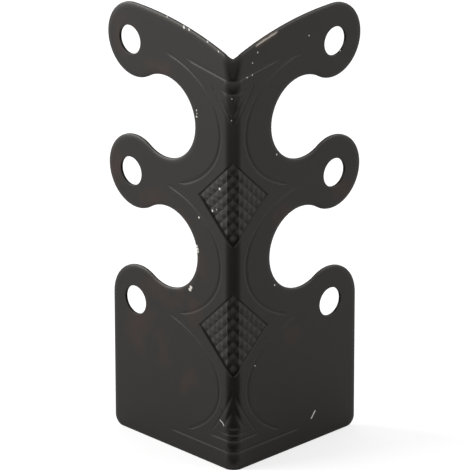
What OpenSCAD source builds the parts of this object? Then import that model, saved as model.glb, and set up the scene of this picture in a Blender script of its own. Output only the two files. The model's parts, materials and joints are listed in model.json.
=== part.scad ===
// Corner protector for a box or chest: one stamped sheet, folded square about an upright bend.
// Both wings are alike. The origin is where the two inner faces would meet at the foot, the right
// wing runs along +X, the left wing along +Y, and the box that is protected lies in +X, +Y.

/* [Sheet] */
// Thickness of the sheet
sheet = 0.5; // [0.4:0.05:1.2]
// Radius inside the bend
bend_r = 1.5; // [0.8:0.1:2.4]

/* [Outline] */
// Height of the whole piece
height = 76; // [72:0.5:80]
// Width of the foot panel, from the outer face of the other wing to the side edge
foot_w = 28.5; // [26:0.1:32]
// How far the ears above the foot reach past its side edge
ear_over = 0.8; // [0:0.05:3]
// Height of the lowest screw hole's row above the bottom edge
foot_row = 23.95; // [20:0.05:28]
// Radius of the ears
ear_r = 6.35; // [5.5:0.05:7]
// Width of an ear's neck, between the notch below it and the notch above
neck_w = 8.75; // [7.5:0.05:10]
// Radius of the foot's outer corner
corner_r = 1.7; // [0.5:0.1:4]
// Radius of the top edge's sweep down to the bend
top_sweep_r = 63.5; // [50:0.5:120]
// How much further the top edge drops in the V over the bend
bend_dip = 0.4; // [0:0.05:1]

/* [Screw holes] */
// Diameter of the screw holes
hole_d = 4.9; // [3.5:0.1:6]
// Distance from the tip of an ear to the centre of its hole
hole_inset = 5.7; // [5.2:0.1:7]
// How far all the holes lie off their even places, towards the left wing
hole_shift = 0.34; // [-0.6:0.02:0.6]
// How far the ears' holes lie below the middles of their ears
hole_drop = 0.2; // [-0.5:0.05:0.5]

/* [Stamped lines] */
// Width of the ovals and the long lines at the surface
line_w = 0.95; // [0.5:0.05:1.1]
// Width of the finer lines in the spear heads
fine_w = 0.75; // [0.4:0.05:0.9]
// Depth of the ovals and the long lines
line_d = 0.15; // [0.08:0.01:0.22]
// Distance of the oval crests beside the notches from the outer face of the other wing
oval_crest = 2.95; // [2.6:0.05:4]
// Half width of those ovals, across the wing
oval_a = 15.6; // [12:0.1:18]
// Half height of those ovals
oval_b = 11.5; // [10.5:0.1:11.7]
// How far their crests lie below the notches' middle
oval_drop = 0.1; // [-0.5:0.1:0.6]
// Distance of the foot panel's oval crest from the outer face of the other wing
foot_oval_crest = 3.3; // [2.6:0.05:4]
// Half width of the foot panel's oval, across the wing
foot_oval_a = 18.7; // [14:0.1:22]
// Half height of the foot panel's oval
foot_oval_b = 11.2; // [9:0.1:11.5]
// Height of the foot panel's oval at its crest
foot_oval_z = 13.5; // [12.8:0.1:16]
// Height of the long base line
base_line_z = 3.3; // [1.5:0.1:3.5]
// Half length of the long base line, along the sheet from the bend
base_line_half = 14.8; // [8:0.1:20]

/* [Knurled diamonds] */
// Half width of a diamond, along the sheet
diamond_half = 7.4; // [6:0.1:8.5]
// Half height of a diamond
diamond_rise = 7.15; // [6:0.05:8.5]
// Number of pyramids along each side of a diamond
diamond_cells = 7; // [5:1:8]
// Depth of the grooves between the pyramids
knurl_d = 0.22; // [0.1:0.01:0.24]
// How far the tips of the pyramids lie below the surface
tip_sink = 0.02; // [0:0.01:0.05]

/* [Hidden] */
$fn = 96;

steel_black = [0.16, 0.155, 0.15];
past = 1;                                  // how far a cutter runs past what it cuts
bend_out = bend_r + sheet;                 // radius outside the bend
bend_arc = bend_out * PI / 4;              // half the bend's outer skin, along the sheet
bend_flats = 18;                           // flats that make up the bend
row_pitch = (height - ear_r - foot_row) / 2;
notch_r = (row_pitch - neck_w) / 2;        // radius of the round notches between the ears
rows = [for (i = [0:2]) foot_row + i * row_pitch];
ear_tips = [foot_w, foot_w + ear_over, foot_w + ear_over];

// ---- the flat outline of one wing, [distance from the other wing's outer face, height] ----

// Centre of the circle of radius r that touches two ears from outside, on the bend's side
function notch_centre(low, high, r) =
    let (step = high - low, span = norm(step), reach = sqrt(pow(ear_r + r, 2) - pow(span / 2, 2)))
    (low + high) / 2 + reach * [-step.y, step.x] / span;
function heading(from, to) = atan2(to.y - from.y, to.x - from.x);
function arc(centre, r, start, end, steps = 32) =
    [for (i = [0:steps]) let (a = start + (end - start) * i / steps) centre + r * [cos(a), sin(a)]];
function ear(i) = [ear_tips[i] - ear_r, rows[i]];
function notch(i) = notch_centre(ear(i), ear(i + 1), notch_r);
// The notch is walked from the ear below it, round its deep side, to the ear above
function notch_edge(i) =
    arc(notch(i), notch_r, heading(notch(i), ear(i)) + 360, heading(notch(i), ear(i + 1)), 48);
// From the top ear the edge sweeps down to the bend, and over the bend it drops faster
function sweep(u) = height - top_sweep_r + sqrt(pow(top_sweep_r, 2) - pow(ear(2).x - u, 2));
function top_edge(steps = 22) = concat(
    [for (i = [1:steps]) let (u = ear(2).x + (bend_out - ear(2).x) * i / steps) [u, sweep(u)]],
    [[0, sweep(0) - bend_dip * sqrt(2)]]);
wing_outline = concat(
    [[0, 0]],
    arc([foot_w - corner_r, corner_r], corner_r, -90, 0, 12),
    arc(ear(0), ear_r, 0, heading(ear(0), notch(0))),
    notch_edge(0),
    arc(ear(1), ear_r, heading(ear(1), notch(0)), heading(ear(1), notch(1)), 64),
    notch_edge(1),
    arc(ear(2), ear_r, heading(ear(2), notch(1)), 90, 48),
    top_edge());

// ---- the folded sheet ----

// The folded sheet's section: two straight legs and a bend of short flats between them
module fold_section() {
    reach = max(ear_tips) + past;
    centre = [bend_r, bend_r];
    polygon(concat(
        arc(centre, bend_out, 180, 270, bend_flats),
        [[reach, -sheet], [reach, 0]],
        arc(centre, bend_r, 270, 180, bend_flats),
        [[0, reach], [-sheet, reach]]));
}

// The right wing's outline, as thick as the bend is deep
module wing_blank() {
    translate([-sheet, bend_r, 0]) rotate([90, 0, 0])
        linear_extrude(height = bend_out + past) polygon(wing_outline);
}

module folded_sheet() {
    intersection() {
        translate([0, 0, -past]) linear_extrude(height = height + 2 * past) fold_section();
        union() {
            wing_blank();
            mirror([1, -1, 0]) wing_blank();
        }
    }
}

// The right wing's holes, moved along the wing by shift
module screw_holes(shift) {
    for (i = [0:2])
        translate([ear_tips[i] - hole_inset - sheet + shift, past, rows[i] - (i > 0 ? hole_drop : 0)])
            rotate([90, 0, 0]) cylinder(h = sheet + 2 * past, d = hole_d);
}

// ---- the stamped pattern, drawn flat and folded with the sheet ----

// A flat point lies s along the outer skin from the bend's middle, to the right, at height z.
// It is folded to its place, lift above the skin.
function on_skin(s, z, lift) =
    abs(s) <= bend_arc
        ? let (a = 225 + 45 * s / bend_arc, r = bend_out + lift) [bend_r + r * cos(a), bend_r + r * sin(a), z]
        : let (along = bend_r + abs(s) - bend_arc, out = -sheet - lift)
            s > 0 ? [along, out, z] : [out, along, z];
// Distance along the skin of a point u from the other wing's outer face
function skin_s(u) = u - bend_out + bend_arc;

lift = 0.1;                                // how far above the skin a cutter's top lies
line_end = 0.15;                           // a line's depth at its very end, as a share
line_taper = 1.2;                          // length over which a line deepens from its end
line_floor = 0.4;                          // width of a line's hollow floor, as a share
line_side = 0.72;                          // depth at the foot of a line's steep sides, as a share

function mirrored(path) = [for (p = path) [-p.x, p.y]];
function pace(path, i) = i == 0 ? 0 : pace(path, i - 1) + norm(path[i] - path[i - 1]);
// How deep a line is at a point of its path, as a share of line_d
function deepness(path, i) =
    let (walked = pace(path, i), whole = pace(path, len(path) - 1))
    min(1, line_end + min(walked, whole - walked) / line_taper);
// Unit vector to the left of a path at one of its points
function leftward(path, i) =
    let (ahead = path[min(i + 1, len(path) - 1)] - path[max(i - 1, 0)])
    [-ahead.y, ahead.x] / norm(ahead);
// A line's section, [distance to the left, height]: from the bottom up one side, back over the
// skin and down the other side. The sides keep their slope where the line is shallow.
function line_section(width, share) =
    let (
        deep = line_d * width / line_w,
        top = width / 2 * (share + (1 - line_floor) * lift / (line_side * deep)),
        foot = width / 2 * line_floor * share,
        side = -deep * line_side * share)
    [[0, -deep * share], [-foot, side], [-top, lift], [0, lift], [top, lift], [foot, side]];

// One hollow line along a path of flat points
module stamped_line(path, width = line_w) {
    corners = len(line_section(width, 1));
    last = len(path) - 1;
    points = [for (i = [0:last], corner = line_section(width, deepness(path, i)))
        let (p = path[i] + corner.x * leftward(path, i)) on_skin(p.x, p.y, corner.y)];
    fan = [for (k = [1:corners - 2]) [0, k, k + 1]];
    faces = concat(
        [for (f = fan) [f[0], f[2], f[1]]],
        [for (i = [0:last - 1], k = [0:corners - 1])
            let (a = corners * i + k, b = corners * i + (k + 1) % corners)
            each [[a, b, a + corners], [b, b + corners, a + corners]]],
        [for (f = fan) f + last * corners * [1, 1, 1]]);
    polyhedron(points, faces);
}

module both_ways(path, width = line_w) {
    stamped_line(path, width);
    stamped_line(mirrored(path), width);
}

// Part of an oval that opens away from the bend, between two angles from its crest
function oval_path(crest, z, half, ends, steps = 36) =
    [for (i = [0:steps]) let (a = ends[0] + (ends[1] - ends[0]) * i / steps)
        [skin_s(crest) + half.x * (1 - cos(a)), z + half.y * sin(a)]];
// A line over the bend, from z_mid at the bend's middle to z_end at both ends
function cross_path(half, z_mid, z_end) =
    let (
        bend_steps = 5,
        over = 1.06 * bend_arc,            // the last stop lies just outside the bend
        spare = line_w / 2,                // stops keep this far apart
        stops = [for (i = [0:bend_steps]) let (s = over * i / bend_steps) if (s < half - spare) s],
        full = half > over + spare + line_taper ? [half - line_taper] : [],
        side = concat(stops, full, [half]),
        right = [for (s = side) [s, z_mid + (z_end - z_mid) * s / half]])
    concat(mirrored([for (i = [len(side) - 1:-1:1]) right[i]]), right);
// A curve drawn from a to b that leaves towards pull
function swept_path(a, pull, b, steps = 14) =
    [for (i = [0:steps]) let (t = i / steps) (1 - t) * (1 - t) * a + 2 * t * (1 - t) * pull + t * t * b];

oval_ends = [-67.5, 79];                   // where the ovals beside the notches end, as angles
foot_oval_ends = [-52.5, 69.5];            // where the foot panel's oval ends

module oval_lines() {
    for (i = [0:1])
        both_ways(oval_path(
            oval_crest, (rows[i] + rows[i + 1]) / 2 - oval_drop, [oval_a, oval_b], oval_ends));
    both_ways(oval_path(foot_oval_crest, foot_oval_z, [foot_oval_a, foot_oval_b], foot_oval_ends));
}

// A spear head of nested curves closes each end of the pattern, over short lines across the bend.
// Lines are [half length, height at the bend, height at the ends, width] and curves are three
// points [distance from the bend's middle, height]: the foot, the point it leaves towards and the
// tip. At the foot, heights count up from the base line; at the top, down from the highest edge.
foot_lines = [
    [base_line_half, 0, 0, line_w], [5.4, 2.05, 2.05, line_w],
    [2.9, 3.15, 3.15, fine_w], [1.1, 4.25, 4.25, fine_w]];
foot_curves = [[[4.75, 2.7], [1.35, 7], [0.1, 10.7]], [[2.35, 3.9], [0.95, 5.6], [0.1, 7.7]]];
top_lines = [[10.3, 8, 6.45, line_w], [2.6, 10.2, 9.75, fine_w]];
top_curves = [[[4.6, 9.1], [2.3, 12.6], [0.1, 15.4]], [[2.1, 11], [1.1, 12.3], [0.1, 13.9]]];

// way is 1 where heights count up from z, and -1 where they count down
module spear_head(z, way, lines, curves) {
    function placed(p) = [p.x, z + way * p.y];
    for (line = lines)
        stamped_line(cross_path(line[0], z + way * line[1], z + way * line[2]), line[3]);
    for (curve = curves)
        both_ways(swept_path(placed(curve[0]), placed(curve[1]), placed(curve[2])), fine_w);
}

// The hollow that leaves a diamond of pyramids. Its floor is a grid of nodes two to a pyramid:
// nodes odd both ways are tips, the rest lie in the grooves, and an outer ring is above the skin.
module knurled_diamond(z_mid) {
    n = 2 * diamond_cells;
    rim = 0.035;                           // width of the sloping rim, as a share of a side
    lid = 0.5;                             // height of the cutter's lid above the skin
    side = n + 3;
    roof = side * side;
    function share(i) = i < 0 ? -rim : i > n ? 1 + rim : i / n;
    function floor_at(i, j) =
        min(i, j) < 0 || max(i, j) > n ? lift : i % 2 == 1 && j % 2 == 1 ? -tip_sink : -knurl_d;
    function place(g, h) =
        let (across = share(g.x) - share(g.y), up = share(g.x) + share(g.y) - 1)
        on_skin(diamond_half * across, z_mid + diamond_rise * up, h);
    grid = [for (i = [-1:n + 1], j = [-1:n + 1]) [i, j]];
    points = concat([for (g = grid) place(g, floor_at(g.x, g.y))], [for (g = grid) place(g, lid)]);
    // Each square of the grid is split along one diagonal or the other, in turn
    function square_at(i, j, from) =
        let (a = from + i * side + j, b = a + 1, c = b + side, d = a + side)
        (i + j) % 2 == 0 ? [[a, c, b], [a, d, c]] : [[a, d, b], [b, d, c]];
    function turned(faces) = [for (f = faces) [f[0], f[2], f[1]]];
    // Node i on the grid's edge, counted round it
    function ring(i) = let (k = side - 1, e = floor(i / k), r = i % k)
        e == 0 ? r : e == 1 ? r * side + k : e == 2 ? k * side + k - r : (k - r) * side;
    around = 4 * (side - 1);
    squares = [for (i = [0:side - 2], j = [0:side - 2]) [i, j]];
    faces = concat(
        [for (q = squares) each square_at(q[0], q[1], 0)],
        [for (q = squares) each turned(square_at(q[0], q[1], roof))],
        [for (i = [0:around - 1]) let (a = ring(i), b = ring((i + 1) % around))
            each [[a, b, roof + a], [b, roof + b, roof + a]]]);
    polyhedron(points, faces);
}

module stamped_pattern() {
    oval_lines();
    spear_head(base_line_z, 1, foot_lines, foot_curves);
    spear_head(height, -1, top_lines, top_curves);
    for (i = [0:1]) knurled_diamond(rows[i]);
}

module corner_protector() {
    color(steel_black) difference() {
        folded_sheet();
        screw_holes(-hole_shift);
        mirror([1, -1, 0]) screw_holes(hole_shift);
        stamped_pattern();
    }
}

corner_protector();
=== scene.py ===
"""Looks of the corner protector: paint, worn spots, studio and camera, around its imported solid."""

import json
import math

import bmesh
import bpy
from mathutils import Matrix, Vector
from mathutils.kdtree import KDTree

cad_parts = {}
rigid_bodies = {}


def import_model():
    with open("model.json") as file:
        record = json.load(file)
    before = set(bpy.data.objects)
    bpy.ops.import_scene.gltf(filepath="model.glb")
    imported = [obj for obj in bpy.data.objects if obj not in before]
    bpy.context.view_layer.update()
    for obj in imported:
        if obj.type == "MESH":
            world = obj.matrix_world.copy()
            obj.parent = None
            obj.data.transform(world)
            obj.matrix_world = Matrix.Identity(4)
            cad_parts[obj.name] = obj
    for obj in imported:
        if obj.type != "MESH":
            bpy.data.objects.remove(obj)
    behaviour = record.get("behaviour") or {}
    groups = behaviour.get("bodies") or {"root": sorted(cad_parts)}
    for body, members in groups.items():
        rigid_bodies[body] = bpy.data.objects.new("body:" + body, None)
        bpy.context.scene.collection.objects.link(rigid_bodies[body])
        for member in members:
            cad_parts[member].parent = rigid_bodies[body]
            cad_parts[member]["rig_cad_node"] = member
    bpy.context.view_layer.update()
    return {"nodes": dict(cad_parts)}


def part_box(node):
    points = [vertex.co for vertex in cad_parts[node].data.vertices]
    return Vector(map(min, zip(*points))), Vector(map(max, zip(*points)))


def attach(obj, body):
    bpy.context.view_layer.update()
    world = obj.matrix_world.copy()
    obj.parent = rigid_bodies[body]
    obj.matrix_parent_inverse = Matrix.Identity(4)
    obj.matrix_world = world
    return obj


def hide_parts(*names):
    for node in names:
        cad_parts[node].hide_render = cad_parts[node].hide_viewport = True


bl_info = {
    "name": "Corner protector looks",
    "version": (1, 0, 0),
    "blender": (4, 5, 0),
    "location": "View3D > Sidebar > Corner",
    "description": "Finishes a stamped corner protector in satin black paint and sets its studio",
    "category": "Object",
}

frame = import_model()
NODE = "corner_protector"
MM = 0.001
ROOT_HALF = math.sqrt(0.5)

# ---- the solid's own sizes ----

SHEET = -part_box(NODE)[0].x  # the inner faces lie on x = 0 and y = 0, the outer ones a sheet outside them
FOOT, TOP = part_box(NODE)[0].z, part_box(NODE)[1].z
BEND_RADIUS = 1.5 * MM  # inside the bend
# Past the bend, x - y is this much more than the way along the skin from the fold
BEND_EXTRA = (2.0 - 0.5 * math.pi) * (BEND_RADIUS + SHEET) * 0.5
DIAMOND_HALF, DIAMOND_RISE = 7.4 * MM, 7.15 * MM
DIAMOND_MIDDLES = (23.95 * MM, 46.8 * MM)
DIAMOND_FLOOR = (0.003 * MM, 0.5 * SHEET)  # how deep the pyramids lie, from and to
# Roughly where both wings have their holes: along the wing, and up
HOLES = ((22.3 * MM, 23.95 * MM), (23.1 * MM, 46.6 * MM), (23.1 * MM, 69.45 * MM))
# The arc of the top edge: its highest place across, and its radius
TOP_EAR, TOP_SWEEP = 22.95 * MM, 63.5 * MM

# ---- the finish of the edges ----

WELD = 0.001 * MM
FLAT_ANGLE = math.radians(0.3)
SMOOTH_ANGLE = math.radians(38.0)
WALL_SPAN = 0.55 * SHEET  # a face that reaches through more than this is a cut wall
OUTER_DEPTH = 0.6 * SHEET  # what lies less deep than this belongs to the outer skin
WALL_LEAN = 0.3  # how far a cut wall's normal may lean towards the skin's
# Rings of the rolled-over edge: way in from the outline, and share of the full drop
ROLL = ((0.0, 1.0), (0.22, 0.52), (0.5, 0.2), (1.0, 0.0))
HOLE_REACH = 4.3 * MM  # round the holes the edge isn't rolled over
PROUD = 0.1 * MM  # the most that an inset next to the fold can leave its curve
LEAST_LEAN = 0.001

# ---- worn places and painted shade, in millimetres across from the corner (left wing negative) and up ----

# Chips in the paint: across, height and radius
CHIPS = (
    (-15.1, 75.5, 0.12), (-5.76, 73.6, 0.15), (-3.24, 72.6, 0.14), (-11.2, 74.7, 0.24),
    (-10.0, 74.6, 0.2), (-8.36, 61.3, 0.13), (-8.3, 60.75, 0.1), (-8.37, 60.2, 0.14),
    (-8.42, 37.7, 0.2), (-8.28, 37.25, 0.24), (-8.18, 36.8, 0.2), (-10.1, 29.6, 0.3),
    (-9.85, 30.05, 0.28), (-3.1, 49.1, 0.2), (-4.75, 44.9, 0.18), (-3.8, 45.3, 0.09),
    (-7.9, 42.9, 0.17), (-0.2, 65.1, 0.12), (-0.3, 61.4, 0.12), (5.6, 71.9, 0.13),
    (4.4, 70.4, 0.12), (4.4, 68.3, 0.12), (3.2, 68.2, 0.1), (17.2, 71.9, 0.12),
    (9.9, 53.3, 0.14), (9.5, 30.6, 0.14), (5.0, 17.6, 0.1), (24.4, 67.4, 0.1),
)
# Scratches down to the metal: both ends and the width
SCRATCHES = (
    (18.15, 4.2, 19.0, 5.25, 0.22), (-3.08, 8.45, -2.47, 8.16, 0.12), (-2.47, 8.16, -2.24, 7.7, 0.12),
)
# Places where rust warms the black: across, height and radius
WARM = (
    (-26.5, 46.0, 3.4), (-24.5, 41.5, 3.0), (-17.0, 41.6, 3.6), (-11.5, 40.6, 3.2), (-9.3, 34.5, 3.4),
    (-11.5, 27.0, 3.6), (-18.0, 24.6, 4.2), (-21.5, 19.0, 3.6), (-16.0, 17.5, 3.0), (-11.5, 13.5, 2.6),
    (-25.5, 70.0, 3.0), (-17.0, 66.0, 2.8), (11.5, 42.0, 2.2), (24.5, 43.0, 2.4), (14.5, 21.5, 2.6),
)
# Each pair below is where something starts to fade, and where it is gone
WARM_FADE = (0.3, 1.7)  # in shares of the place's radius
CLOUD_SIZE, CLOUD_FADE = 5 * MM, (0.38, 0.62)  # noise that breaks the warm places up
CHIP_FADE = (0.7, 1.3)  # in shares of the chip's radius
CHIP_LUMPS, CHIP_WANDER = 0.3 * MM, 0.12 * MM  # size and reach of the waves in its outline
SCRATCH_FADE = (0.35, 0.75)  # in shares of the scratch's width
RUB_MIDDLE, RUB_DEPTH = 7.6 * MM, 0.42 * MM  # middle of the rubbed line: across, and down from the edge
RUB_LUMPS, RUB_WANDER = 0.7 * MM, 0.6 * MM
RUB_ENDS = (1.9 * MM, 2.7 * MM)  # along the edge, from the middle
STAIN_FADE = (0.5 * MM, 1.3 * MM)  # down from the edge
BRIGHT_FADE = (0.06 * MM, 0.24 * MM)  # off the rubbed line
BRIGHT_WANDER, BRIGHT_SHARE = 0.3, 0.7  # of the stain's waves, and of the bare metal's colour
# Painted shade on the diamonds' rims, from a low specular level: off the rim and up, both in shares of the
# diamond's half size, and across
RIM_FADE, RIM_TOP, RIM_FOLD = (0.045, 0.08), (-0.15, 0.1), (1.0 * MM, 2.0 * MM)

# ---- paint and light ----

GRAIN_SIZE = 0.5 * MM
PAINT_IOR = 1.5
# Near-black base colour of the cut walls: painted shade
WALL_PAINTED_SHADE = (0.004, 0.004, 0.004, 1.0)
SHEEN, SHADE_SHEEN = 0.5, 0.08  # specular level of the skins, and the lower one of cut walls and diamond rims, which is painted shade
SHEEN_TINT = (1.0, 0.965, 0.9, 1.0)
CARD_BLACK, CARD_WHITE = (0.07, 0.07, 0.07, 1), (0.75, 0.75, 0.75, 1)
# Cosines of the turn away from straight ahead: white below the first, black above the second
CARD_SIDE, CARD_MIDDLE = 0.17, 0.8
CARD_AHEAD, CARD_HALF = math.radians(225.0), math.radians(80.0)
CARD_NEAR, CARD_FAR, CARD_LIFT = 1.5 * MM, 900 * MM, 0.3 * MM
FLOOR_SIZE = 6.0
FLOOR_TONE = (0.8, 0.8, 0.8, 1)
FLOOR_GLOW = 0.6
FILL = 0.35  # the world's strength for matt surfaces
# Name, place, aim, size and power of each lamp
LAMPS = (
    ("left_box", (-0.48, 0.49, 0.30), (-0.05, 0.05, 0.04), (0.6, 0.5), 4.15),
    ("right_box", (0.49, -0.48, 0.36), (0.05, -0.05, 0.04), (0.6, 0.5), 1.75),
    ("top_lamp", (0.25, 0.25, 0.9), (0, 0, 0.03), (0.7, 0.7), 0.8),
)
SENSOR = 36.0
CLIP_NEAR, CLIP_FAR = 0.05, 20.0


# ---- sizes and colours that a user would change ----


class PaintSettings(bpy.types.PropertyGroup):
    """Satin black paint on the stamped sheet."""

    colour: bpy.props.FloatVectorProperty(
        name="Paint colour",
        description="Base colour of the black paint",
        default=(0.0105, 0.0098, 0.0094),
        subtype="COLOR",
    )
    colour_warm: bpy.props.FloatVectorProperty(
        name="Warm tone",
        description="Browner black of the places where rust warms it",
        default=(0.027, 0.0135, 0.0105),
        subtype="COLOR",
    )
    bare: bpy.props.FloatVectorProperty(
        name="Bare metal",
        description="Colour of the small chips where the paint is gone",
        default=(0.8, 0.76, 0.7),
        subtype="COLOR",
    )
    rust: bpy.props.FloatVectorProperty(
        name="Rust",
        description="Colour of the stain along the rubbed top edge",
        default=(0.055, 0.03, 0.016),
        subtype="COLOR",
    )
    grain_depth: bpy.props.FloatProperty(
        name="Grain depth",
        description="Height of the fine grain of the paint",
        default=0.004 * MM,
        min=0.0,
        max=0.05 * MM,
        unit="LENGTH",
        precision=6,
    )
    gloss_roughness: bpy.props.FloatProperty(
        name="Paint roughness",
        description="Roughness of the satin paint",
        default=0.36,
        min=0.05,
        max=1.0,
        subtype="FACTOR",
    )
    edge_roll: bpy.props.FloatProperty(
        name="Rolled edge",
        description="How far the outer skin is drawn down along the punched outline",
        default=0.17 * MM,
        min=0.0,
        max=0.25 * MM,
        unit="LENGTH",
        precision=5,
    )
    edge_round: bpy.props.FloatProperty(
        name="Edge rounding",
        description="Radius of the punched edge itself, all round the outline and the holes",
        default=0.07 * MM,
        min=0.02 * MM,
        max=0.12 * MM,
        unit="LENGTH",
        precision=5,
    )


class StudioSettings(bpy.types.PropertyGroup):
    """Camera, floor and lamps."""

    azimuth: bpy.props.FloatProperty(
        name="Camera azimuth",
        description="Direction of the camera round the fold",
        default=math.radians(-44.274),
        subtype="ANGLE",
    )
    elevation: bpy.props.FloatProperty(
        name="Camera elevation",
        description="Height of the camera above the horizon",
        default=math.radians(21.72),
        subtype="ANGLE",
    )
    roll: bpy.props.FloatProperty(
        name="Camera roll",
        description="Turn of the camera about its own axis",
        default=math.radians(-0.081),
        subtype="ANGLE",
    )
    distance: bpy.props.FloatProperty(
        name="Camera distance",
        description="Distance from the camera to the point it looks at",
        default=0.8062,
        unit="LENGTH",
    )
    target_height: bpy.props.FloatProperty(
        name="Target height",
        description="Height of the point that the camera looks at",
        default=0.04207,
        unit="LENGTH",
    )
    target_side: bpy.props.FloatProperty(
        name="Target side",
        description="How far the target lies to the right of the fold",
        default=0.00033,
        unit="LENGTH",
        precision=5,
    )
    lens: bpy.props.FloatProperty(
        name="Lens",
        description="Focal length for a 36 mm sensor, in millimetres",
        default=382.98,
        min=50.0,
    )


# ---- small helpers ----


def node_tree(material):
    """The material's node tree, emptied."""
    material.use_nodes = True
    tree = material.node_tree
    tree.nodes.clear()
    return tree


def link(tree, source, target):
    """Joins a node's output to another node's input."""
    tree.links.new(source, target)


def add_node(tree, kind, **values):
    """Adds a shader node and sets its plain settings."""
    node = tree.nodes.new(kind)
    for key, value in values.items():
        setattr(node, key, value)
    return node


def socket(value, node_input):
    """Feeds a node's input from another node's output, or sets it to a plain value."""
    if hasattr(value, "links"):
        node_input.id_data.links.new(value, node_input)
    else:
        node_input.default_value = value


def only_select(piece):
    """Selects one object alone and makes it active."""
    bpy.ops.object.select_all(action="DESELECT")
    piece.select_set(True)
    bpy.context.view_layer.objects.active = piece


def maths(tree, operation, *values):
    """A sum on plain values or on other nodes' outputs."""
    node = add_node(tree, "ShaderNodeMath", operation=operation)
    for place, value in zip(node.inputs, values):
        socket(value, place)
    return node.outputs["Value"]


def vector_maths(tree, operation, *values):
    """A sum on places or directions."""
    node = add_node(tree, "ShaderNodeVectorMath", operation=operation)
    for place, value in zip(node.inputs, values):
        socket(value, place)
    return node.outputs["Value" if operation in ("DISTANCE", "LENGTH", "DOT_PRODUCT") else "Vector"]


def fade(tree, value, low, high):
    """1 where the value is below low, falling smoothly to 0 at high. With low above high it rises."""
    node = add_node(tree, "ShaderNodeMapRange", interpolation_type="SMOOTHSTEP")
    socket(value, node.inputs["Value"])
    node.inputs["From Min"].default_value = low
    node.inputs["From Max"].default_value = high
    node.inputs["To Min"].default_value = 1.0
    node.inputs["To Max"].default_value = 0.0
    return node.outputs["Result"]


def noise(tree, place, size):
    """Cloudy noise with lumps of about the given size."""
    node = add_node(tree, "ShaderNodeTexNoise")
    socket(place, node.inputs["Vector"])
    node.inputs["Scale"].default_value = 1.0 / size
    node.inputs["Detail"].default_value = 2.0
    return node.outputs["Fac"]


def wander(tree, place, size, reach):
    """Noise that shifts an outline by up to the given reach, to both sides."""
    return maths(tree, "MULTIPLY_ADD", noise(tree, place, size), 2.0 * reach, -reach)


def blend_colours(tree, share, under, over):
    """The first colour where the share is 0, the second one where it is 1."""
    node = add_node(tree, "ShaderNodeMix", data_type="RGBA")
    socket(share, node.inputs["Factor"])
    socket(under, node.inputs["A"])
    socket(over, node.inputs["B"])
    return node.outputs["Result"]


# ---- the paint ----


def sheet_place(tree):
    """A point of the sheet as if it were flat: across from the corner (left wing negative), and up."""
    coordinates = add_node(tree, "ShaderNodeTexCoord")
    apart = add_node(tree, "ShaderNodeSeparateXYZ")
    link(tree, coordinates.outputs["Object"], apart.inputs["Vector"])
    flat = add_node(tree, "ShaderNodeCombineXYZ")
    across = maths(tree, "SUBTRACT", apart.outputs["X"], apart.outputs["Y"])
    socket(across, flat.inputs["X"])
    socket(apart.outputs["Z"], flat.inputs["Z"])
    return coordinates.outputs["Object"], across, flat.outputs["Vector"]


def black_paint(settings):
    """Satin black paint with a fine grain, worn through in places; as painted shade, the cut walls are
    darkened and get a low specular level, and the left diamonds' lower rims get a low specular level.
    """
    material = bpy.data.materials.new("satin_black_paint")
    tree = node_tree(material)
    out = add_node(tree, "ShaderNodeOutputMaterial")
    shader = add_node(tree, "ShaderNodeBsdfPrincipled")
    place, across, flat = sheet_place(tree)
    outer = add_node(tree, "ShaderNodeAttribute", attribute_name="outer_skin").outputs["Fac"]
    cut = add_node(tree, "ShaderNodeAttribute", attribute_name="cut_wall").outputs["Fac"]

    stain, bright = worn_strip(tree, across, below_top_edge(tree, across, flat), flat)
    tone = warmed_black(tree, settings, place, flat)
    tone = blend_colours(tree, maths(tree, "MULTIPLY", stain, outer), tone, (*settings.rust, 1.0))
    # Cut walls painted near black: painted shade
    tone = blend_colours(tree, cut, tone, WALL_PAINTED_SHADE)
    bare = maths(tree, "MULTIPLY", maths(tree, "MAXIMUM", chip_mask(tree, flat), bright), outer)
    link(tree, blend_colours(tree, bare, tone, (*settings.bare, 1.0)), shader.inputs["Base Color"])

    # Cut walls and the left diamonds' lower rims get a low specular level: painted shade
    painted_shade = maths(tree, "MAXIMUM", cut, maths(tree, "MULTIPLY", shaded_diamond_rims(tree, across, flat), outer))
    sheen = maths(tree, "MULTIPLY_ADD", painted_shade, SHADE_SHEEN - SHEEN, SHEEN)
    link(tree, sheen, shader.inputs["Specular IOR Level"])
    shader.inputs["Specular Tint"].default_value = SHEEN_TINT
    shader.inputs["Roughness"].default_value = settings.gloss_roughness
    shader.inputs["IOR"].default_value = PAINT_IOR
    link(tree, grain(tree, place, settings.grain_depth), shader.inputs["Normal"])
    link(tree, shader.outputs["BSDF"], out.inputs["Surface"])
    return material


def warmed_black(tree, settings, place, flat):
    """The paint's black, browner in the cloudy places where rust warms it."""
    cloudy = fade(tree, noise(tree, place, CLOUD_SIZE), *reversed(CLOUD_FADE))
    warm = maths(tree, "MULTIPLY", warm_spots(tree, flat), cloudy)
    return blend_colours(tree, warm, (*settings.colour, 1.0), (*settings.colour_warm, 1.0))


def grain(tree, place, depth):
    """Fine bumps over the whole paint."""
    bumps = add_node(tree, "ShaderNodeBump")
    bumps.inputs["Strength"].default_value = 1.0
    bumps.inputs["Distance"].default_value = depth
    link(tree, noise(tree, place, GRAIN_SIZE), bumps.inputs["Height"])
    return bumps.outputs["Normal"]


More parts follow.
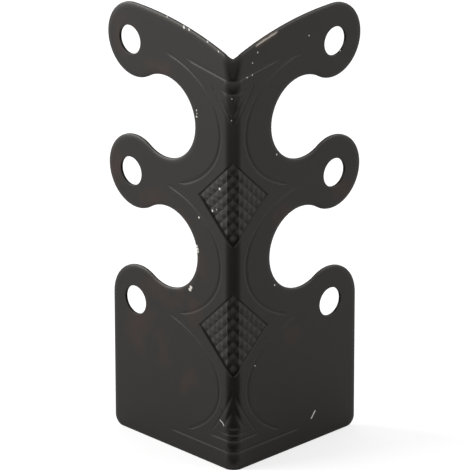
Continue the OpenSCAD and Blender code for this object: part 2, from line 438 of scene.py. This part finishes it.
def shaded_diamond_rims(tree, across, flat):
    """1 along the left wing's lower rim of each knurled diamond, where a low specular level paints shade.
    """
    apart = add_node(tree, "ShaderNodeSeparateXYZ")
    link(tree, flat, apart.inputs["Vector"])
    sideways = maths(tree, "DIVIDE", maths(tree, "ABSOLUTE", across), DIAMOND_HALF)
    mask = None
    for middle in DIAMOND_MIDDLES:
        up = maths(tree, "DIVIDE", maths(tree, "SUBTRACT", apart.outputs["Z"], middle), DIAMOND_RISE)
        off = maths(tree, "ABSOLUTE", maths(tree, "SUBTRACT", maths(tree, "SUBTRACT", sideways, up), 1.0))
        rim = maths(tree, "MULTIPLY", fade(tree, off, *RIM_FADE), fade(tree, up, *RIM_TOP))
        mask = rim if mask is None else maths(tree, "MAXIMUM", mask, rim)
    return maths(tree, "MULTIPLY", mask, fade(tree, across, *RIM_FOLD))


def warm_spots(tree, flat):
    """1 in the middle of each warm place, fading to 0 outside it."""
    mask = None
    for across, up, radius in WARM:
        away = vector_maths(tree, "DISTANCE", flat, (across * MM, 0.0, up * MM))
        near = fade(tree, away, *(share * radius * MM for share in WARM_FADE))
        mask = near if mask is None else maths(tree, "MAXIMUM", mask, near)
    return mask


def chip_mask(tree, flat):
    """1 on each small chip and scratch of the paint, with a ragged outline."""
    ragged = wander(tree, flat, CHIP_LUMPS, CHIP_WANDER)
    mask = None
    for across, up, radius in CHIPS:
        away = vector_maths(tree, "DISTANCE", flat, (across * MM, 0.0, up * MM))
        away = maths(tree, "ADD", away, ragged)
        near = fade(tree, away, *(share * radius * MM for share in CHIP_FADE))
        mask = near if mask is None else maths(tree, "MAXIMUM", mask, near)
    for *ends, width in SCRATCHES:
        away = away_from_line(tree, flat, ends)
        near = fade(tree, away, *(share * width * MM for share in SCRATCH_FADE))
        mask = maths(tree, "MAXIMUM", mask, near)
    return mask


def away_from_line(tree, flat, ends):
    """Distance to a short line, whose ends are given across and up in millimetres."""
    start, end = Vector((ends[0], 0.0, ends[1])) * MM, Vector((ends[2], 0.0, ends[3])) * MM
    line = end - start
    from_start = vector_maths(tree, "SUBTRACT", flat, tuple(start))
    along = vector_maths(tree, "DOT_PRODUCT", from_start, tuple(line / line.length_squared))
    share = add_node(tree, "ShaderNodeClamp")
    socket(along, share.inputs["Value"])
    scaled = add_node(tree, "ShaderNodeVectorMath", operation="SCALE")
    scaled.inputs[0].default_value = tuple(line)
    link(tree, share.outputs["Result"], scaled.inputs["Scale"])
    return vector_maths(tree, "DISTANCE", from_start, scaled.outputs["Vector"])


def below_top_edge(tree, across, flat):
    """How far a point of the right wing lies below the sweep of its top edge."""
    back = maths(tree, "SUBTRACT", TOP_EAR, across)
    square = maths(tree, "SUBTRACT", TOP_SWEEP ** 2, maths(tree, "MULTIPLY", back, back))
    edge = maths(tree, "ADD", maths(tree, "SQRT", square), TOP - TOP_SWEEP)
    apart = add_node(tree, "ShaderNodeSeparateXYZ")
    link(tree, flat, apart.inputs["Vector"])
    return maths(tree, "SUBTRACT", edge, apart.outputs["Z"])


def worn_strip(tree, across, below, flat):
    """Masks of the right wing's rubbed top edge: a rusty stain, and a bare line along it."""
    uneven = wander(tree, flat, RUB_LUMPS, RUB_WANDER)
    long_way = maths(tree, "ABSOLUTE", maths(tree, "SUBTRACT", across, RUB_MIDDLE))
    in_reach = fade(tree, maths(tree, "ADD", long_way, uneven), *RUB_ENDS)
    high_up = fade(tree, maths(tree, "ADD", below, uneven), *STAIN_FADE)
    stain = maths(tree, "MULTIPLY", in_reach, high_up)
    from_line = maths(tree, "ABSOLUTE", maths(tree, "SUBTRACT", below, RUB_DEPTH))
    from_line = maths(tree, "ADD", from_line, maths(tree, "MULTIPLY", uneven, BRIGHT_WANDER))
    bright = maths(tree, "MULTIPLY", in_reach, fade(tree, from_line, *BRIGHT_FADE))
    return stain, maths(tree, "MULTIPLY", bright, BRIGHT_SHARE)


# ---- operators ----


class CORNER_OT_sheet(bpy.types.Operator):
    """Roll over and round the sheet's punched edges, keep its stamped pyramids crisp and paint it"""

    bl_idname = "corner.sheet"
    bl_label = "Finish the sheet"

    def execute(self, context):
        paint = context.scene.corner_paint
        sheet = merged_copy(frame["nodes"][NODE], "painted_sheet")
        roll_edges(sheet, paint.edge_roll)
        round_rims(sheet, paint.edge_round)
        shade_sheet(sheet)
        mark_faces(sheet)
        sheet.data.materials.clear()
        sheet.data.materials.append(black_paint(paint))
        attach(sheet, "root")
        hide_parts(NODE)
        return {"FINISHED"}


def merged_copy(node, name):
    """A copy of the node with its loose triangles joined, and flat ones merged."""
    only_select(node)
    bpy.ops.object.duplicate()
    copy = bpy.context.active_object
    copy.name = name
    del copy["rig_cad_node"]
    only_select(copy)
    bpy.ops.object.parent_clear(type="CLEAR_KEEP_TRANSFORM")
    bpy.ops.object.mode_set(mode="EDIT")
    bpy.ops.mesh.customdata_custom_splitnormals_clear()
    bpy.ops.mesh.select_all(action="SELECT")
    bpy.ops.mesh.remove_doubles(threshold=WELD)
    bpy.ops.mesh.dissolve_limited(angle_limit=FLAT_ANGLE)
    bpy.ops.object.mode_set(mode="OBJECT")
    return copy


def depth_at(place):
    """How far a point lies below the sheet's outer skin."""
    if max(place.x, place.y) < BEND_RADIUS:
        return BEND_RADIUS + SHEET - math.hypot(BEND_RADIUS - place.x, BEND_RADIUS - place.y)
    return SHEET + min(place.x, place.y)


def in_diamond(place):
    """Whether a point lies on the stamped floor of a knurled diamond."""
    across = max(abs(place.x - place.y) - BEND_EXTRA, 0.0) / DIAMOND_HALF
    up = min(abs(place.z - middle) for middle in DIAMOND_MIDDLES) / DIAMOND_RISE
    return DIAMOND_FLOOR[0] < depth_at(place) < DIAMOND_FLOOR[1] and across + up < 1.0


def spans_sheet(face):
    """Whether a face is part of a cut wall, from one skin to the other."""
    depths = [depth_at(corner.co) for corner in face.verts]
    return max(depths) - min(depths) > WALL_SPAN


def outward(place):
    """The way that the outer skin faces at a point: the two level parts of its normal."""
    if max(place.x, place.y) < BEND_RADIUS:
        away = Vector((place.x - BEND_RADIUS, place.y - BEND_RADIUS))
        return away.normalized()
    return Vector((-1.0, 0.0)) if place.y > place.x else Vector((0.0, -1.0))


def near_hole(place):
    """Whether a point lies on the rim of a screw hole or beside it."""
    out = max(place.x, place.y)
    return any(math.hypot(out - along, place.z - up) < HOLE_REACH for along, up in HOLES)


def roll_edges(sheet, drop):
    """Draws the outer skin down towards the outline, in rings, as a punch does."""
    rings = inset_rings(sheet)
    finder = KDTree(len(sheet.data.vertices))
    for point in sheet.data.vertices:
        finder.insert(point.co, point.index)
    finder.balance()
    pull_back(sheet)
    for axis, name in enumerate("XY"):
        group = sheet.vertex_groups.new(name="roll_" + name)
        for ring, (_, share) in zip(rings, ROLL):
            for place in ring:
                lean = -outward(place)[axis] * share
                if lean > LEAST_LEAN and not near_hole(place):
                    group.add([finder.find(place)[1]], lean, "REPLACE")
        draw_down(sheet, group.name, name, drop)
    bpy.ops.object.vertex_group_remove(all=True)


def inset_rings(sheet):
    """Insets the outer skin in the steps of ROLL, and gives the places of each ring's points."""
    only_select(sheet)
    bpy.ops.object.mode_set(mode="EDIT")
    bpy.ops.mesh.select_mode(type="FACE")
    bpy.ops.mesh.select_all(action="DESELECT")
    shape = bmesh.from_edit_mesh(sheet.data)
    for face in shape.faces:
        face.select = not spans_sheet(face) and depth_at(face.calc_center_median()) < OUTER_DEPTH
    bmesh.update_edit_mesh(sheet.data)
    rings = [rim_of_selection(sheet)]
    for (nearer, _), (farther, _) in zip(ROLL, ROLL[1:]):
        bpy.ops.mesh.inset(thickness=(farther - nearer) * MM, depth=0.0, use_even_offset=True)
        rings.append(rim_of_selection(sheet))
    bpy.ops.object.mode_set(mode="OBJECT")
    return rings


def rim_of_selection(sheet):
    """Places of the points round the selected faces."""
    rim = {}
    for edge in bmesh.from_edit_mesh(sheet.data).edges:
        if sum(face.select for face in edge.link_faces) == 1:
            rim.update((corner, corner.co.copy()) for corner in edge.verts)
    return list(rim.values())


def pull_back(sheet):
    """Puts the points that an inset next to the fold left outside the skin back on it."""
    for point in sheet.data.vertices:
        proud = -depth_at(point.co)
        if 0.0 < proud < PROUD:
            point.co -= outward(point.co).to_3d() * proud


def draw_down(sheet, group, axis, drop):
    """Moves the points of a group along one axis, by their weights in it."""
    rolled = sheet.modifiers.new(group, "DISPLACE")
    rolled.direction = axis
    rolled.mid_level = 0.0
    rolled.strength = drop
    rolled.vertex_group = group
    bpy.ops.object.modifier_apply(modifier=rolled.name)


def round_rims(sheet, radius):
    """Bevels both rims of every cut wall: the outline and the holes, outside and inside."""
    only_select(sheet)
    bpy.ops.object.mode_set(mode="EDIT")
    bpy.ops.mesh.select_mode(type="EDGE")
    bpy.ops.mesh.select_all(action="DESELECT")
    shape = bmesh.from_edit_mesh(sheet.data)
    for edge in shape.edges:
        walls = [spans_sheet(face) for face in edge.link_faces]
        edge.select = any(walls) and not all(walls)
    shape.select_flush_mode()
    bmesh.update_edit_mesh(sheet.data)
    bpy.ops.mesh.bevel(offset=radius, segments=2, affect="EDGES", clamp_overlap=True)
    bpy.ops.object.mode_set(mode="OBJECT")


def shade_sheet(sheet):
    """Smooth shading, but for the ridges and furrows of the pyramids."""
    only_select(sheet)
    bpy.ops.object.shade_smooth_by_angle(angle=SMOOTH_ANGLE)
    bpy.ops.object.mode_set(mode="EDIT")
    bpy.ops.mesh.select_mode(type="EDGE")
    bpy.ops.mesh.select_all(action="DESELECT")
    shape = bmesh.from_edit_mesh(sheet.data)
    for edge in shape.edges:
        edge.select = all(in_diamond(face.calc_center_median()) for face in edge.link_faces)
    bmesh.update_edit_mesh(sheet.data)
    bpy.ops.mesh.mark_sharp()
    bpy.ops.object.mode_set(mode="OBJECT")
    weighted = sheet.modifiers.new("even_normals", "WEIGHTED_NORMAL")
    weighted.keep_sharp = True
    bpy.ops.object.modifier_apply(modifier=weighted.name)


def mark_faces(sheet):
    """Stores for the paint which faces are cut walls and which are the outer skin."""
    walls = sheet.data.attributes.new("cut_wall", "FLOAT", "FACE").name
    outer = sheet.data.attributes.new("outer_skin", "FLOAT", "FACE").name
    marks = sheet.data.attributes
    for face in sheet.data.polygons:
        level = face.normal.to_2d().dot(outward(face.center))
        marks[walls].data[face.index].value = 1.0 if abs(level) < WALL_LEAN else 0.0
        marks[outer].data[face.index].value = 1.0 if depth_at(face.center) < OUTER_DEPTH else 0.0


class CORNER_OT_studio(bpy.types.Operator):
    """Set the floor, the lamps and the camera"""

    bl_idname = "corner.studio"
    bl_label = "Set the studio"

    def execute(self, context):
        settings = context.scene.corner_studio
        make_floor()
        make_flag()
        make_lamps()
        make_world()
        make_camera(settings)
        context.scene.view_settings.view_transform = "Standard"
        return {"FINISHED"}


def make_floor():
    """A pale floor under the object."""
    bpy.ops.mesh.primitive_plane_add(size=FLOOR_SIZE, location=(0, 0, FOOT))
    floor = bpy.context.active_object
    floor.name = "floor"
    floor.data.materials.append(pale_grey())


def pale_grey():
    """The floor's grey, which the camera sees as white, with the object's shadow."""
    material = bpy.data.materials.new("pale_floor")
    tree = node_tree(material)
    out = add_node(tree, "ShaderNodeOutputMaterial")
    diffuse = add_node(tree, "ShaderNodeBsdfDiffuse")
    diffuse.inputs["Color"].default_value = FLOOR_TONE
    glow = add_node(tree, "ShaderNodeEmission")
    path = add_node(tree, "ShaderNodeLightPath")
    socket(maths(tree, "MULTIPLY", path.outputs["Is Camera Ray"], FLOOR_GLOW), glow.inputs["Strength"])
    both = add_node(tree, "ShaderNodeAddShader")
    link(tree, diffuse.outputs["BSDF"], both.inputs[0])
    link(tree, glow.outputs["Emission"], both.inputs[1])
    link(tree, both.outputs["Shader"], out.inputs["Surface"])
    return material


def make_flag():
    """A card that lies just over the floor, in front of the fold."""
    bpy.ops.mesh.primitive_circle_add(vertices=3, radius=1.0, fill_type="NGON")
    flag = bpy.context.active_object
    flag.name = "black_flag"
    outline = ((0.0, CARD_NEAR), (-CARD_HALF, CARD_FAR), (CARD_HALF, CARD_FAR))
    for corner, (turn, reach) in zip(flag.data.vertices, outline):
        angle = CARD_AHEAD + turn
        corner.co = (reach * math.cos(angle), reach * math.sin(angle), CARD_LIFT)
    flag.data.materials.append(black_card())


def black_card():
    """The card's face, black in the middle and pale at its sides, which only mirror rays see."""
    material = bpy.data.materials.new("black_card")
    tree = node_tree(material)
    out = add_node(tree, "ShaderNodeOutputMaterial")
    card = add_node(tree, "ShaderNodeBsdfDiffuse")
    coordinates = add_node(tree, "ShaderNodeTexCoord").outputs["Object"]
    away = vector_maths(tree, "NORMALIZE", coordinates)
    forward = vector_maths(tree, "DOT_PRODUCT", away, (-ROOT_HALF, -ROOT_HALF, 0))
    aside = fade(tree, forward, CARD_SIDE, CARD_MIDDLE)
    link(tree, blend_colours(tree, aside, CARD_BLACK, CARD_WHITE), card.inputs["Color"])
    clear = add_node(tree, "ShaderNodeBsdfTransparent")
    path = add_node(tree, "ShaderNodeLightPath")
    mix = add_node(tree, "ShaderNodeMixShader")
    link(tree, path.outputs["Is Glossy Ray"], mix.inputs["Fac"])
    link(tree, clear.outputs["BSDF"], mix.inputs[1])
    link(tree, card.outputs["BSDF"], mix.inputs[2])
    link(tree, mix.outputs["Shader"], out.inputs["Surface"])
    return material


def make_lamps():
    """A soft box beside each wing, and a weak light from above."""
    for name, place, aim, size, power in LAMPS:
        bpy.ops.object.light_add(type="AREA", location=place)
        lamp = bpy.context.active_object
        lamp.name = name
        lamp.data.shape = "RECTANGLE"
        lamp.data.size, lamp.data.size_y = size
        lamp.data.energy = power
        lamp.rotation_euler = (Vector(aim) - Vector(place)).to_track_quat("-Z", "Y").to_euler()


def make_world():
    """White where it is seen or mirrored, and a dimmer fill for matt surfaces."""
    world = bpy.data.worlds.new("studio")
    bpy.context.scene.world = world
    world.use_nodes = True
    tree = world.node_tree
    tree.nodes.clear()
    out = add_node(tree, "ShaderNodeOutputWorld")
    back = add_node(tree, "ShaderNodeBackground")
    path = add_node(tree, "ShaderNodeLightPath")
    seen = maths(tree, "MAXIMUM", path.outputs["Is Camera Ray"], path.outputs["Is Glossy Ray"])
    seen = maths(tree, "MAXIMUM", seen, path.outputs["Is Transmission Ray"])
    socket(maths(tree, "MULTIPLY_ADD", seen, 1.0 - FILL, FILL), back.inputs["Strength"])
    link(tree, back.outputs["Background"], out.inputs["Surface"])


def make_camera(settings):
    """The camera, which looks at a point on the fold."""
    azimuth, elevation, roll = settings.azimuth, settings.elevation, settings.roll
    back = Vector((
        math.sin(azimuth) * math.cos(elevation),
        -math.cos(azimuth) * math.cos(elevation),
        math.sin(elevation),
    ))
    right = Vector((0, 0, 1)).cross(back).normalized()
    up = back.cross(right)
    right, up = (
        math.cos(roll) * right + math.sin(roll) * up,
        math.cos(roll) * up - math.sin(roll) * right,
    )
    side = settings.target_side * ROOT_HALF
    target = Vector((side - SHEET, -side - SHEET, settings.target_height))
    bpy.ops.object.camera_add()
    camera = bpy.context.active_object
    camera.name = "camera"
    turn = Matrix((right, up, back)).transposed().to_4x4()
    camera.matrix_world = Matrix.Translation(target + back * settings.distance) @ turn
    camera.data.lens = settings.lens
    camera.data.sensor_width = SENSOR
    camera.data.clip_start = CLIP_NEAR
    camera.data.clip_end = CLIP_FAR
    bpy.context.scene.camera = camera


class CORNER_PT_panel(bpy.types.Panel):
    """Panel with the part's operators"""

    bl_idname = "CORNER_PT_panel"
    bl_label = "Corner protector"
    bl_space_type = "VIEW_3D"
    bl_region_type = "UI"
    bl_category = "Corner"

    def draw(self, context):
        column = self.layout.column()
        for operator in OPERATORS:
            column.operator(operator.bl_idname)
        for settings in (context.scene.corner_paint, context.scene.corner_studio):
            for name in settings.__annotations__:
                column.prop(settings, name)


OPERATORS = (CORNER_OT_sheet, CORNER_OT_studio)
CLASSES = (PaintSettings, StudioSettings, *OPERATORS, CORNER_PT_panel)


def register():
    for cls in CLASSES:
        bpy.utils.register_class(cls)
    bpy.types.Scene.corner_paint = bpy.props.PointerProperty(type=PaintSettings)
    bpy.types.Scene.corner_studio = bpy.props.PointerProperty(type=StudioSettings)


def unregister():
    del bpy.types.Scene.corner_studio
    del bpy.types.Scene.corner_paint
    for cls in reversed(CLASSES):
        bpy.utils.unregister_class(cls)


def main():
    register()
    bpy.ops.corner.sheet()
    bpy.ops.corner.studio()


if __name__ == "__main__":
    main()
